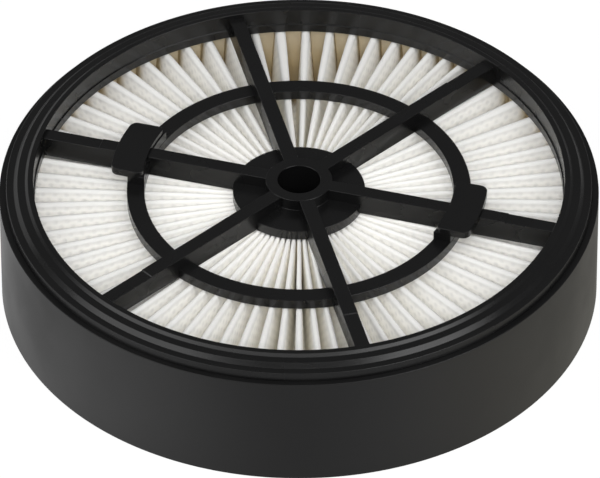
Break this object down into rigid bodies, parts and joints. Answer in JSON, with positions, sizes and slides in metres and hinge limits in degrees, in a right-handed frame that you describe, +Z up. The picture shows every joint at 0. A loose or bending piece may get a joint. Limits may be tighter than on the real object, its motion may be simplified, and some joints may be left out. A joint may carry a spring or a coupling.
{
  "type": "round pleated vacuum filter",
  "caption": "Round drum-shaped vacuum filter: black plastic casing with a stepped rim, a spoked grille with bayonet lugs and a hub bore over a radial fan of white pleats.",
  "frame": {"origin": "centre of the circle that the casing's bottom edge makes on the surface it stands on", "axes": "+Z up along the filter's axis, out of the grille side; +X through the two bayonet lugs"},
  "size_m": [0.14, 0.14, 0.0322],
  "materials": {
    "casing_plastic": "satin moulded black plastic",
    "grille_plastic": "satin moulded black plastic",
    "filter_medium": "white non-woven sheet with staggered embossed dots",
    "hot_melt_glue": "tan hot-melt adhesive"
  },
  "bodies": {
    "root": {"outer_casing": "casing_plastic", "grille_frame": "grille_plastic", "pleated_filter": "filter_medium", "outer_glue_ring": "hot_melt_glue", "inner_glue_ring": "hot_melt_glue"}
  },
  "joints": []
}
